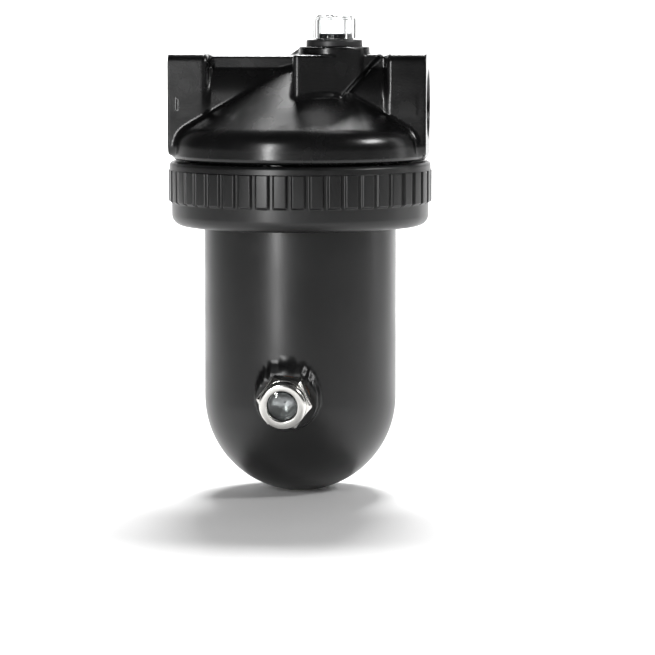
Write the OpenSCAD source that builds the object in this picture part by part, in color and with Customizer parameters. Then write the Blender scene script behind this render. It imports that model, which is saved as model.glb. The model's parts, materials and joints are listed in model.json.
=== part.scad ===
// Compressed air filter: a cast head with two pipe ports, a bowl held by a screwed clamp ring,
// a sight glass in the bowl's wall, and a pop-up service indicator on top of the head.
// Millimetres. +X is the way the air flows, +Z is up and -Y is the front.
// The origin is the middle of the inlet port's face.

/* [Ports] */
// Distance between the two port faces
port_span = 127; // [120:1:150]
// Radius of the tapped port, for a G1 pipe thread
port_tap_r = 15.15; // [11:0.05:16]
// Length of the port's thread
port_tap_len = 20; // [14:0.5:22]
// Thickness of a port block, along the pipe
block_t = 20; // [15:0.5:22]
// Depth of a port block, front to back
block_w = 46; // [42:1:56]
// Height of a port block
block_h = 50.5; // [46:0.5:54]
// Radius of the air passages in the head
passage_r = 14; // [10:0.5:14.5]
// Thickness of metal round the horizontal air passage
passage_wall = 8; // [5:0.5:9]

/* [Head] */
// Radius of the head's round rim
rim_r = 64; // [62:0.5:72]
// Height of the rim's underside below the port centre line
rim_drop = 27.8; // [26.5:0.1:32]
// Height of the straight band at the bottom of the rim
rim_band = 6.9; // [3:0.1:9]
// Radius on the rim's lower edge
rim_edge = 2.5; // [0.5:0.5:3]
// Radius that rolls the rim over into the cone
rim_round = 12; // [6:0.5:14]
// Slope of the cone above the rim, from level
cone_slope = 33.4; // [25:0.1:38]
// Length of the threaded skirt under the rim
skirt_len = 22; // [18:0.5:28]
// Radius of the thread that joins the skirt and the clamp ring
clamp_thread_r = 55.5; // [53:0.5:58]
// Height of the flat bar along the top of the head, above the port centre line
bar_top = 23.8; // [22.5:0.1:25]
// Width of that bar
bar_w = 26; // [16:0.5:32]

/* [Indicator tower] */
// How far the indicator stands past the middle of the head, along the flow
tower_x = 18; // [14:0.5:20]
// How far the indicator stands in front of the middle of the head
tower_y = 12; // [10:0.5:14]
// Radius of the round land that carries the indicator
land_r = 17.6; // [16:0.1:20]
// Height of that land above the port centre line
land_top = 28.5; // [27.5:0.1:32]
// Radius of the tapped pocket for the indicator
pocket_r = 9; // [8.5:0.1:10]

/* [Clamp ring] */
// Height of the clamp ring
ring_h = 32; // [30:0.5:38]
// Radius over the ribs
rib_r = 65.8; // [65:0.1:72]
// How far the ribs stand out of the band under them
rib_depth = 1.5; // [1:0.1:3]
// Height of the ribs
rib_h = 16; // [10:0.5:20]
// Number of ribs
rib_count = 46; // [24:1:60]
// Width of the groove between two ribs
groove_w = 2.6; // [1:0.1:3.5]
// Height of the plain band above the ribs
ring_top_band = 4.2; // [2:0.1:6]
// Radius on the ring's bottom edge
ring_round = 6; // [2:0.5:7]
// Lead of the clamp thread for one turn
clamp_lead = 4; // [2:0.5:6]

/* [Bowl] */
// Outer radius of the bowl
bowl_r = 48; // [44:0.5:49]
// Thickness of the bowl's wall
bowl_wall = 4; // [3:0.25:5]
// Thickness of the flange that the clamp ring lifts
flange_t = 4.5; // [3.5:0.25:6]
// Distance from the port centre line down to the centre of the round bottom
dome_drop = 146.5; // [130:0.5:200]
// Thickness of the washer under the flange
thrust_t = 1.2; // [0.8:0.1:2]

/* [Sight glass] */
// Height of the sight glass above the centre of the round bottom
sight_up = 3.8; // [0:0.1:20]
// How far round from the front the sight glass sits, in degrees
sight_turn = -3; // [-180:0.5:180]
// How far the sight glass looks down, in degrees
sight_tilt = 7; // [0:0.5:8]
// How far the sight glass's hexagon is turned, in degrees
sight_hex_turn = -7; // [-30:1:30]
// Width of the sight glass's hexagon across its flats
sight_hex = 24; // [23:0.5:28]
// Radius of the window
window_r = 7.5; // [5:0.25:7.5]
// Radius of the thread that holds the sight glass
sight_thread_r = 10.3; // [10.3:0.1:10.9]
// Radius of the boss on the bowl
sight_boss_r = 16; // [15.5:0.1:18]

/* [Element] */
// Outer radius of the sintered filter element
element_r = 25; // [23:0.5:30]
// Thickness of the element's wall
element_wall = 8; // [5:0.5:9]
// Length of the element
element_len = 70; // [50:1:75]
// Clear gap between the baffle's edge and the bowl's bore
baffle_gap = 6; // [4:0.5:12]
// Radius of the rod that holds the element up
rod_r = 3; // [2.5:0.5:4]

/* [Drain] */
// Radius of the tapped drain hole
drain_tap_r = 5.75; // [4:0.25:6.5]
// Lead of the drain thread for one turn
drain_lead = 1.337; // [1:0.1:2]

/* [Service indicator] */
// Width of the clear cap across its flats
cap_hex = 19; // [18.8:0.1:22]
// How far the clear cap is turned on its thread, in degrees
cap_turn = 13; // [0:1:60]
// Height of the clear cap
cap_h = 12; // [10.5:0.5:16]
// Radius of the indicator's round flange
collar_r = 14; // [13:0.5:16]
// Thickness of that flange
collar_t = 3.5; // [3:0.25:5]
// How far the piston rises when the element is clogged
piston_travel = 4.5; // [3:0.25:4.5]

/* [Hidden] */
$fn = 96;

running = 0.2;   // clearance each side between parts that turn or slide
snug = 0.05;     // clearance each side between parts that are screwed or pushed together
over = 1;        // how far a cut runs past the face it opens

black_paint = [0.05, 0.05, 0.055];
rubber_black = [0.09, 0.09, 0.09];
nickel = [0.75, 0.74, 0.7];
steel = [0.62, 0.63, 0.65];

// Head, from the rim down.
chamber_top = -(passage_r + 5);
rim_z = -rim_drop;
skirt_z = rim_z - skirt_len;
neck_r = max(passage_r + 10, element_r - element_wall + 7);
baffle_r = bowl_r - bowl_wall - baffle_gap;
neck_step_r = neck_r - 3;
neck_z = skirt_z + 9.8;
cone_start = [rim_r - rim_round * (1 - sin(cone_slope)), rim_z + rim_band + rim_round * cos(cone_slope)];
cone_top_r = 14;
cone_top_z = cone_start[1] + (cone_start[0] - cone_top_r) * tan(cone_slope);
tube_r = passage_r + passage_wall;
tower_front_r = tower_y + land_r + 5.4;
inlet_drop_r = passage_r - 3;
inlet_drop_x = -(neck_r + inlet_drop_r + 1.5);

// Clamp ring and bowl joint.
ring_gap = 0.8;
ring_top = rim_z - ring_gap;
ring_bottom = ring_top - ring_h;
band_r = rib_r - rib_depth;
rib_top = ring_top - ring_top_band;
flange_z = skirt_z - flange_t;
lip_top = flange_z - thrust_t;
spigot_r = bowl_r - running;
spigot_len = 13;
bowl_bore_r = bowl_r - bowl_wall;
flange_r = clamp_thread_r - 1.5;
o_ring_wire = 1.75;
mouth_r = spigot_r + 2 * o_ring_wire + 0.1;
dome_z = -dome_drop;
bowl_bottom = dome_z - bowl_r;

// Element stack, hung from the neck.
gasket_t = 1.8;
element_top = neck_z - gasket_t;
element_bottom = element_top - element_len;
baffle_top = element_bottom - gasket_t;
baffle_t = 3;
baffle_drop = 8.5;
rod_washer_t = 1.2;
nut_h = 5;
nut_flats = 10;
rod_web_z = neck_z + 8;
rod_web_t = 8;
rod_end = baffle_top - baffle_t - rod_washer_t - nut_h - 3;

// Sight glass, measured outwards from the face of its boss.
sight_z = dome_z + sight_up;
boss_face = bowl_r + 3.5;
sight_washer_t = 1.5;
hex_t = 7;
bezel_t = 6;
bezel_r = sight_hex / 2 - 0.4;
sight_front = sight_washer_t + hex_t + bezel_t;
window_lip = 1.6;
lens_r = window_r + 1.35;
lens_t = 5;
lens_seal_t = 0.8;
lens_front = sight_front - window_lip - lens_seal_t;
reflector_t = 0.8;
retainer_t = 1.6;
retainer_w = 1.8;

// Drain, measured upwards from the bottom of the bowl.
drain_sink = 4.6;
drain_boss_r = drain_tap_r + 5.25;
drain_boss_h = 13;
plug_collar_r = drain_tap_r + 2.85;
plug_collar_t = 2.6;
drain_washer_t = 1.5;
plug_thread_len = 8;

// Service indicator, measured upwards from the land.
pocket_depth = 12.5;
stem_r = 4;
barrel_r = pocket_r - 2;
barrel_top = -1.2;
base_len = 12;
nipple_r = cap_hex / 2 - 1.9;
nipple_h = 2.5;
cap_seal_t = 0.5;
cap_z = collar_t + cap_seal_t;
piston_foot = -base_len + 0.4;
piston_head_t = 1.4;
piston_seal_t = 0.8;
spring_wire = 0.35;
spring_turns = 4;
spring_low = piston_foot + piston_head_t + piston_seal_t;

function arc(centre, r, from, to, steps) =
    [for (i = [0:steps]) centre + r * [cos(from + (to - from) * i / steps), sin(from + (to - from) * i / steps)]];

// Everything is drawn about the bowl's axis, and set down with the inlet face at x = 0.
module place() {
    translate([port_span / 2, 0, 0]) children();
}

module at_indicator() {
    translate([tower_x, -tower_y, land_top]) children();
}

module at_sight() {
    rotate([0, 0, sight_turn]) translate([0, -boss_face, sight_z])
        rotate([90 + sight_tilt, 0, 0]) children();
}

module at_drain() {
    translate([0, 0, bowl_bottom]) children();
}

// A flat ring that lies on z and is t thick.
module washer(outer, inner, t) {
    difference() {
        cylinder(r = outer, h = t);
        translate([0, 0, -over]) cylinder(r = inner, h = t + 2 * over);
    }
}

module torus(ring, wire) {
    rotate_extrude() translate([ring, 0]) circle(r = wire, $fn = 32);
}

module rounded_square(w, h, r) {
    square([w - 2 * r, h], center = true);
    square([w, h - 2 * r], center = true);
    for (x = [-1, 1], y = [-1, 1])
        translate([x * (w / 2 - r), y * (h / 2 - r)]) circle(r = r);
}

module hexagon(flats) {
    circle(r = flats / sqrt(3), $fn = 6);
}

// A cylinder that runs along X from one place to another.
module pipe_x(r, from, to) {
    translate([from, 0, 0]) rotate([0, 90, 0]) cylinder(r = r, h = to - from);
}

// ---- Head ----

// Flat on its port face, with its two inner corners rounded towards the pipe.
module port_block(side) {
    inner_round = 3;
    intersection() {
        translate([side * (port_span - block_t) / 2, 0, 0]) rotate([90, 0, 90])
            linear_extrude(block_t, center = true) rounded_square(block_w, block_h, 5);
        linear_extrude(block_h + 2 * over, center = true)
            rotate(side > 0 ? 0 : 180) translate([port_span / 2 - block_t, 0]) {
                translate([0, inner_round - block_w / 2])
                    square([block_t, block_w - 2 * inner_round]);
                translate([inner_round, -block_w / 2]) square([block_t, block_w]);
                for (y = [-1, 1])
                    translate([inner_round, y * (block_w / 2 - inner_round)]) circle(r = inner_round);
            }
    }
}

module dome_shell() {
    rotate_extrude() polygon(concat(
        [[0, skirt_z], [clamp_thread_r, skirt_z], [clamp_thread_r, rim_z]],
        arc([rim_r - rim_edge, rim_z + rim_edge], rim_edge, -90, 0, 5),
        arc([rim_r - rim_round, rim_z + rim_band], rim_round, 0, 90 - cone_slope, 8),
        [[cone_top_r, cone_top_z], [0, cone_top_z]]
    ));
}

// The tower's plan follows a circle about the head, then narrows towards the outlet block.
module tower_plan() {
    inner = port_span / 2 - block_t + over;
    intersection() {
        circle(r = tower_front_r);
        translate([tower_x - land_r - 1, -tower_front_r])
            square([tower_x + 10, tower_front_r + 5]);
    }
    polygon([[tower_x, 5], [tower_x, -tower_y - land_r + 1], [tower_x + 6, -tower_y - land_r + 4],
        [inner, -tower_y - 2], [inner, 5]]);
}

module tower() {
    low = -5;
    high = bar_top + 0.9;
    lean = [tower_x - 4, tower_x + 23];
    intersection() {
        union() {
            linear_extrude(high) tower_plan();
            translate([tower_x, -tower_y, 0]) cylinder(r = land_r, h = land_top);
        }
        rotate([90, 0, 0]) linear_extrude(4 * tower_front_r, center = true)
            polygon([[-tower_front_r, low], [lean[0], low], [lean[1], high], [lean[1], land_top + over],
                [-tower_front_r, land_top + over]]);
    }
}

module air_chamber() {
    outer = clamp_thread_r - 5.5;
    mouth_z = skirt_z + spigot_len + 1;
    rotate_extrude() polygon([
        [neck_r, chamber_top], [outer, chamber_top], [outer, mouth_z + 4], [bowl_r - 1, mouth_z],
        [bowl_r, mouth_z], [bowl_r, skirt_z + 2 * o_ring_wire + 0.1], [mouth_r, skirt_z + 2 * o_ring_wire],
        [mouth_r, skirt_z - over], [0, skirt_z - over], [0, neck_z], [neck_step_r, neck_z],
        [neck_step_r, neck_z + 2.5], [neck_r, neck_z + 2.5]
    ]);
}

module air_passages() {
    face = port_span / 2;
    elbow = 3;
    pipe_x(port_tap_r, -face - over, -face + port_tap_len);
    pipe_x(port_tap_r, face - port_tap_len, face + over);
    pipe_x(passage_r, -face + port_tap_len - over, inlet_drop_x + 8);
    pipe_x(passage_r, -passage_r + 2 * elbow, face - port_tap_len + over);
    translate([0, 0, neck_z - over]) cylinder(r = passage_r - 0.5, h = elbow - neck_z + over);
    translate([inlet_drop_x, 0, chamber_top - over]) cylinder(r = inlet_drop_r, h = elbow - chamber_top + over);
}

module indicator_pocket() {
    sense_r = 1.2;
    floor_z = land_top - pocket_depth;
    translate([tower_x, -tower_y, floor_z]) cylinder(r = pocket_r, h = pocket_depth + over);
    translate([tower_x, -passage_r - 3, chamber_top - over])
        cylinder(r = sense_r, h = floor_z - chamber_top + 2 * over, $fn = 24);
    translate([tower_x, -tower_y + pocket_r - 0.2, passage_r - 4])
        cylinder(r = sense_r, h = land_top - 3 - passage_r + 4, $fn = 24);
}

module head() {
    color(black_paint) {
        difference() {
            union() {
                dome_shell();
                pipe_x(tube_r, -port_span / 2 + block_t - over, port_span / 2 - block_t + over);
                for (side = [-1, 1]) port_block(side);
                translate([-port_span / 2 + block_t - over, -bar_w / 2, 0])
                    cube([port_span - 2 * block_t + 2 * over, bar_w, bar_top]);
                tower();
            }
            air_chamber();
            air_passages();
            indicator_pocket();
        }
        difference() {
            translate([-passage_r - 1, -rod_r - 2, rod_web_z])
                cube([2 * passage_r + 2, 2 * rod_r + 4, rod_web_t]);
            translate([0, 0, rod_web_z - over]) cylinder(r = rod_r + snug, h = rod_web_t + 2 * over);
        }
    }
}

// ---- Clamp ring ----

module clamp_ring() {
    top_band_r = rib_r - 0.8;
    top_round = 2.2;
    bore_r = clamp_thread_r + running;
    color(black_paint) difference() {
        rotate_extrude() polygon(concat(
            [[bore_r + 1, ring_top]],
            arc([top_band_r - top_round, ring_top - top_round], top_round, 90, 0, 5),
            [[top_band_r, rib_top], [rib_r - 0.4, rib_top], [rib_r, rib_top - 0.4],
                [rib_r, rib_top - rib_h + 0.6], [band_r, rib_top - rib_h]],
            arc([band_r - ring_round, ring_bottom + ring_round], ring_round, 0, -90, 8),
            [[bowl_r + 3 * running, ring_bottom], [bowl_r + 3 * running, lip_top],
                [bore_r, lip_top], [bore_r, ring_top - 1]]
        ));
        for (i = [0:rib_count - 1])
            rotate([0, 0, (i + 0.5) * 360 / rib_count])
                translate([band_r + 0.1, -groove_w / 2, rib_top - rib_h - over])
                    cube([rib_depth + over, groove_w, rib_h + over + 0.3]);
    }
}

module thrust_washer() {
    color("ivory") translate([0, 0, lip_top]) washer(clamp_thread_r - 0.6, bowl_r + 1, thrust_t);
}

// ---- Bowl ----

module bowl_shape() {
    rotate_extrude() polygon(concat(
        [[0, skirt_z + spigot_len]],
        [[spigot_r - 1, skirt_z + spigot_len], [spigot_r, skirt_z + spigot_len - 1], [spigot_r, skirt_z],
            [flange_r, skirt_z], [flange_r, flange_z], [bowl_r, flange_z], [bowl_r, dome_z], [0, dome_z]]
    ));
    translate([0, 0, dome_z]) sphere(r = bowl_r);
    at_sight() translate([0, 0, -boss_face + bowl_bore_r - 3])
        cylinder(r = sight_boss_r, h = boss_face - bowl_bore_r + 3);
}

module bowl() {
    cavity_top = skirt_z + spigot_len + over;
    color(black_paint) difference() {
        union() {
            difference() {
                bowl_shape();
                translate([0, 0, dome_z]) cylinder(r = bowl_bore_r, h = cavity_top - dome_z);
                translate([0, 0, dome_z]) sphere(r = bowl_bore_r);
            }
            at_drain() translate([0, 0, bowl_wall / 2])
                cylinder(r = drain_boss_r, h = drain_boss_h - bowl_wall / 2);
        }
        at_sight() translate([0, 0, -2 * bowl_wall - 3])
            cylinder(r = sight_thread_r + snug, h = 2 * bowl_wall + 3 + over);
        at_drain() {
            translate([0, 0, -over]) cylinder(r = plug_collar_r + 0.7, h = drain_sink + over);
            translate([0, 0, -over]) cylinder(r = drain_tap_r, h = drain_boss_h + 2 * over);
        }
    }
}

module bowl_o_ring() {
    color(rubber_black) translate([0, 0, skirt_z + o_ring_wire])
        torus(spigot_r + o_ring_wire + snug, o_ring_wire - snug);
}

// ---- Air path ----

module deflector() {
    vanes = 12;
    rim = bowl_bore_r - 2 * running;
    hub = neck_r + snug;
    top = neck_z + 10;
    color("dimgray") {
        translate([0, 0, neck_z + 2.5]) washer(hub + 2, hub, top - neck_z - 2.5);
        translate([0, 0, neck_z]) washer(hub + 2, neck_step_r + snug, 2.5);
        translate([0, 0, neck_z + 2]) washer(rim, rim - 2, top - neck_z - 2);
        for (i = [0:vanes - 1])
            rotate([0, 0, i * 360 / vanes]) translate([hub + 1, 0, neck_z + 6])
                rotate([40, 0, 0]) translate([0, -0.8, -4.2]) cube([rim - hub - 2, 1.6, 8.4]);
    }
}

module element_gasket(z) {
    color(rubber_black) translate([0, 0, z])
        washer(element_r - 1, max(element_r - element_wall, passage_r) + 0.5, gasket_t);
}

module element_top_gasket() {
    element_gasket(element_top);
}

module element_bottom_gasket() {
    element_gasket(baffle_top);
}

module filter_element() {
    color("darkgoldenrod") translate([0, 0, element_bottom])
        washer(element_r, element_r - element_wall, element_len);
}

module baffle() {
    plate_r = element_r + 2;
    fins = 4;
    color("dimgray") difference() {
        union() {
            rotate_extrude() polygon([
                [0, baffle_top], [element_r - 1, baffle_top], [plate_r, baffle_top - 0.5],
                [baffle_r, baffle_top - baffle_drop + 2], [baffle_r, baffle_top - baffle_drop],
                [plate_r, baffle_top - baffle_t], [0, baffle_top - baffle_t]
            ]);
            for (i = [0:fins - 1])
                rotate([0, 0, (i + 0.5) * 360 / fins])
                    translate([nut_flats, -1, baffle_top - baffle_drop])
                        cube([baffle_r - nut_flats - 3, 2, baffle_drop - baffle_t + 0.5]);
        }
        translate([0, 0, baffle_top - baffle_drop - over])
            cylinder(r = rod_r + running, h = baffle_drop + 2 * over);
    }
}

module tie_rod() {
    color(steel) translate([0, 0, rod_end]) cylinder(r = rod_r, h = rod_web_z + rod_web_t - rod_end, $fn = 48);
}

module rod_washer() {
    color(steel) translate([0, 0, baffle_top - baffle_t - rod_washer_t])
        washer(nut_flats / 2 + 1.5, rod_r + running, rod_washer_t);
}

module rod_nut() {
    color(steel) translate([0, 0, baffle_top - baffle_t - rod_washer_t - nut_h]) difference() {
        linear_extrude(nut_h) hexagon(nut_flats);
        translate([0, 0, -over]) cylinder(r = rod_r + snug, h = nut_h + 2 * over);
    }
}

// ---- Sight glass ----

module sight_body() {
    corner_r = sight_hex / sqrt(3);
    tail = bowl_wall + 3;
    color(nickel) at_sight() difference() {
        union() {
            translate([0, 0, -tail]) cylinder(r = sight_thread_r, h = tail + sight_washer_t + 0.5);
            intersection() {
                translate([0, 0, sight_washer_t]) rotate(sight_hex_turn)
                    linear_extrude(hex_t) hexagon(sight_hex);
                translate([0, 0, sight_washer_t]) rotate_extrude() polygon([
                    [0, 0], [corner_r - 0.6, 0], [corner_r, 0.5], [corner_r, hex_t - 1.6],
                    [sight_hex / 2 - 0.2, hex_t], [0, hex_t]
                ]);
            }
            rotate_extrude() polygon(concat(
                [[0, sight_washer_t + 1], [bezel_r, sight_washer_t + 1]],
                arc([bezel_r - 2, sight_front - 2], 2, 0, 90, 6),
                [[0, sight_front]]
            ));
        }
        translate([0, 0, -tail - over]) cylinder(r = lens_r + snug, h = tail + over + sight_front - window_lip);
        translate([0, 0, sight_front - window_lip - over]) cylinder(r = window_r, h = window_lip + 2 * over);
    }
}

module sight_washer() {
    color("peru") at_sight() washer(sight_hex / 2, sight_thread_r + running, sight_washer_t);
}

module sight_lens() {
    bulge = 1;
    color([0.8, 0.9, 0.9, 0.4]) at_sight() rotate_extrude() polygon([
        [0, lens_front - lens_t], [lens_r, lens_front - lens_t], [lens_r, lens_front],
        [window_r - 0.5, lens_front], [window_r * 0.6, lens_front + bulge * 0.75], [0, lens_front + bulge]
    ]);
}

module sight_lens_seal() {
    color(rubber_black) at_sight() translate([0, 0, lens_front]) washer(lens_r, window_r - 0.3, lens_seal_t);
}

module sight_reflector() {
    face = lens_front - lens_t;
    dish = 2.4;
    flange = retainer_w + 0.2;
    color("whitesmoke") at_sight() difference() {
        rotate_extrude() polygon([
            [0, face - dish - reflector_t], [3, face - dish - reflector_t],
            [lens_r - flange, face - reflector_t], [lens_r, face - reflector_t], [lens_r, face],
            [lens_r - flange - 0.4, face], [2.6, face - dish], [0, face - dish]
        ]);
        translate([0, 0, face - 5]) cylinder(r = 0.9, h = 5, $fn = 24);
    }
}

module sight_retainer() {
    color(steel) at_sight() translate([0, 0, lens_front - lens_t - reflector_t - retainer_t])
        washer(lens_r, lens_r - retainer_w, retainer_t);
}

// ---- Drain ----

module drain_washer() {
    color("peru") at_drain() translate([0, 0, drain_sink - drain_washer_t])
        washer(plug_collar_r, drain_tap_r + 0.25, drain_washer_t);
}

module drain_plug() {
    low = drain_sink - drain_washer_t - plug_collar_t;
    color(nickel) at_drain() translate([0, 0, low]) difference() {
        union() {
            cylinder(r = plug_collar_r, h = plug_collar_t);
            cylinder(r = drain_tap_r - snug, h = plug_collar_t + drain_washer_t + plug_thread_len);
        }
        translate([0, 0, -over]) linear_extrude(5 + over) hexagon(6);
    }
}

// ---- Service indicator ----

module indicator_base() {
    color([0.08, 0.08, 0.08]) at_indicator() difference() {
        union() {
            translate([0, 0, -base_len]) cylinder(r = pocket_r - snug, h = base_len + over);
            cylinder(r = collar_r, h = collar_t);
            cylinder(r = nipple_r, h = cap_z + nipple_h);
        }
        translate([0, 0, -base_len - over]) cylinder(r = barrel_r, h = base_len + over + barrel_top);
        translate([0, 0, barrel_top - over]) cylinder(r = stem_r + 0.1, h = cap_z + nipple_h + 2 * over - barrel_top);
        translate([0, 0, -over]) washer(pocket_r + 2.8, pocket_r + 0.2, over + 1.9);
        translate([0, 0, -3]) rotate([-90, 0, 0]) cylinder(r = 0.8, h = pocket_r + over, $fn = 24);
    }
}

module indicator_base_seal() {
    color(rubber_black) at_indicator() translate([0, 0, 0.95]) torus(pocket_r + 1.5, 0.93);
}

module indicator_cap() {
    corner_r = cap_hex / sqrt(3);
    roof = 2;
    color([0.92, 0.95, 0.95, 0.35]) at_indicator() translate([0, 0, cap_z]) rotate(cap_turn) difference() {
        intersection() {
            linear_extrude(cap_h) hexagon(cap_hex);
            rotate_extrude() polygon([
                [0, 0], [corner_r, 0], [corner_r, cap_h - 2.4], [corner_r - 4, cap_h], [0, cap_h]
            ]);
        }
        translate([0, 0, -over]) cylinder(r = nipple_r + 0.1, h = cap_h - roof + over);
    }
}

module indicator_cap_seal() {
    color(rubber_black) at_indicator() translate([0, 0, collar_t])
        washer(cap_hex / 2 - 0.2, nipple_r + 0.05, cap_seal_t);
}

module indicator_piston() {
    color("firebrick") at_indicator() translate([0, 0, piston_foot]) {
        cylinder(r = barrel_r - running, h = piston_head_t);
        cylinder(r = stem_r, h = cap_z + nipple_h - 0.2 - piston_foot);
    }
}

module indicator_piston_seal() {
    color(rubber_black) at_indicator() translate([0, 0, piston_foot + piston_head_t])
        washer(barrel_r - 0.08, stem_r + snug, piston_seal_t);
}

// A closed tube of round wire wound into a coil, with its two ends capped.
module coil(ring, wire, height, turns) {
    sides = 8;
    steps = 20 * turns;
    points = [for (i = [0:steps]) let (turn = 360 * turns * i / steps, rise = height * i / steps)
        for (j = [0:sides - 1]) let (out = ring + wire * cos(360 * j / sides))
            [out * cos(turn), out * sin(turn), rise + wire * sin(360 * j / sides)]];
    walls = [for (i = [0:steps - 1]) for (j = [0:sides - 1]) let (a = i * sides, b = (j + 1) % sides)
        [a + j, a + sides + j, a + sides + b, a + b]];
    ends = [[for (j = [0:sides - 1]) j], [for (j = [sides - 1:-1:0]) steps * sides + j]];
    polyhedron(points, concat(walls, ends));
}

module indicator_spring() {
    room = barrel_top - spring_low - 2 * spring_wire - 0.1;
    color(steel) at_indicator() translate([0, 0, spring_low + spring_wire + snug])
        coil(barrel_r - 1.4, spring_wire, room, spring_turns);
}

place() head();
place() clamp_ring();
place() thrust_washer();
place() bowl();
place() bowl_o_ring();
place() deflector();
place() element_top_gasket();
place() filter_element();
place() element_bottom_gasket();
place() baffle();
place() tie_rod();
place() rod_washer();
place() rod_nut();
place() sight_body();
place() sight_washer();
place() sight_lens();
place() sight_lens_seal();
place() sight_reflector();
place() sight_retainer();
place() drain_plug();
place() drain_washer();
place() indicator_base();
place() indicator_base_seal();
place() indicator_cap();
place() indicator_cap_seal();
place() indicator_piston();
place() indicator_piston_seal();
place() indicator_spring();
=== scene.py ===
# Compressed air filter: the looks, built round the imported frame.
import json
import math
import bmesh
import bpy
import numpy as np
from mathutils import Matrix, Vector


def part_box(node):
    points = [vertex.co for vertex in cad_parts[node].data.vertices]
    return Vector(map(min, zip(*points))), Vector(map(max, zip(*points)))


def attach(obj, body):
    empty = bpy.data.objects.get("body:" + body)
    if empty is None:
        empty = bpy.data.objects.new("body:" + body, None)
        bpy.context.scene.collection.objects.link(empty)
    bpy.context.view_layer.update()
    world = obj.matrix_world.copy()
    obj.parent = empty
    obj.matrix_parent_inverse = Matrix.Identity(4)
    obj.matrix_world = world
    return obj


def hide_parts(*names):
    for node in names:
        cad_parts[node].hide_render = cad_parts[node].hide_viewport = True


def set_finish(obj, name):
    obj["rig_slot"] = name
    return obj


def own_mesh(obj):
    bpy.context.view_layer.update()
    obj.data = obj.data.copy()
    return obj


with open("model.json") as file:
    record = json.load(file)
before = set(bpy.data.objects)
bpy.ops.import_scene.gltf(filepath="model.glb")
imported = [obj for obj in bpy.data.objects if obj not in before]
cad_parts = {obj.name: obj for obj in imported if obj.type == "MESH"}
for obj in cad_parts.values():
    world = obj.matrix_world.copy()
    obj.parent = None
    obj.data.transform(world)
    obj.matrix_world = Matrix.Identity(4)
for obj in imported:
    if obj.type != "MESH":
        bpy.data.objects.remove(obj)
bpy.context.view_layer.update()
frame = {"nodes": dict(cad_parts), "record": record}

mm = 0.001


# Shapes as fields.
# A field gives each point's distance to a surface: below zero is inside the solid.

def roundMax(a, b, r):   # where both solids are, with a rounded edge of radius r
    u = np.maximum(a + r, 0)
    v = np.maximum(b + r, 0)
    return np.minimum(np.maximum(a, b), -r) + np.hypot(u, v)


def filletMin(a, b, r):   # either solid, with a fillet of radius r in the corner between them
    u = np.maximum(r - a, 0)
    v = np.maximum(r - b, 0)
    return np.maximum(np.minimum(a, b), r) - np.hypot(u, v)


def slab(x, low, high):   # between two parallel planes
    return np.maximum(low - x, x - high)


def roundBox(p, low, high, r):   # a box with every edge rounded: distance to the inner box, less r
    centre = (np.asarray(low) + np.asarray(high)) / 2
    half = (np.asarray(high) - np.asarray(low)) / 2 - r
    q = np.abs(p - centre) - half
    return np.linalg.norm(np.maximum(q, 0), axis=-1) + np.minimum(q.max(axis=-1), 0) - r


def steepest(field, p, h=2e-6):   # the field's slope at each point, by differences each way
    g = np.empty_like(p)
    for k in range(3):
        step = np.zeros(3)
        step[k] = h
        g[:, k] = (field(p + step) - field(p - step)) / (2 * h)
    return g


# Lays a net of quads over the field's zero surface. Each cell that the surface crosses gets one point, the
# mean of the crossings on its edges, and four cells round a crossed edge make a face. Every point is then
# moved down the slope until the field is zero there.
def netOver(field, low, high, step, rounds=6):
    low = np.asarray(low, float) - 2.5 * step
    count = np.ceil((np.asarray(high, float) + 2.5 * step - low) / step).astype(int) + 1
    axes = [low[k] + step * np.arange(count[k]) for k in range(3)]
    values = np.empty(count)
    for i, x in enumerate(axes[0]):
        sheet = np.stack(np.broadcast_arrays(x, axes[1][:, None], axes[2][None, :]), -1)
        values[i] = field(sheet.reshape(-1, 3)).reshape(count[1], count[2])
    inside = values < 0
    cells = count - 1
    total = np.zeros((*cells, 3))
    hits = np.zeros(cells)
    crossed = []
    for k in range(3):
        a = [slice(None)] * 3
        b = [slice(None)] * 3
        a[k], b[k] = slice(0, -1), slice(1, None)
        cut = inside[tuple(a)] != inside[tuple(b)]
        at = np.argwhere(cut)
        va, vb = values[tuple(a)][cut], values[tuple(b)][cut]
        place = at.astype(float)
        place[:, k] += va / (va - vb)
        i, j = [n for n in range(3) if n != k]
        for di in (0, 1):
            for dj in (0, 1):
                c = at.copy()
                c[:, i] -= di
                c[:, j] -= dj
                np.add.at(total, tuple(c.T), place)
                np.add.at(hits, tuple(c.T), 1)
        crossed.append((k, at, inside[tuple(a)][cut]))
    used = hits > 0
    number = np.full(cells, -1)
    number[used] = np.arange(used.sum())
    points = low + step * total[used] / hits[used][:, None]
    faces = []
    for k, at, leaving in crossed:
        i, j = (k + 1) % 3, (k + 2) % 3
        corners = []
        for di, dj in ((1, 1), (0, 1), (0, 0), (1, 0)):
            c = at.copy()
            c[:, i] -= di
            c[:, j] -= dj
            corners.append(number[tuple(c.T)])
        quad = np.stack(corners, -1)
        quad[~leaving] = quad[~leaving][:, ::-1]
        faces.append(quad)
    for _ in range(rounds):
        slope = steepest(field, points)
        size = np.maximum((slope ** 2).sum(-1), 0.25)
        move = slope * (field(points) / size)[:, None]
        long = np.linalg.norm(move, axis=-1, keepdims=True)
        points -= move * np.minimum(1, 0.5 * step / np.maximum(long, 1e-12))
    return points, np.concatenate(faces)


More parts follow.
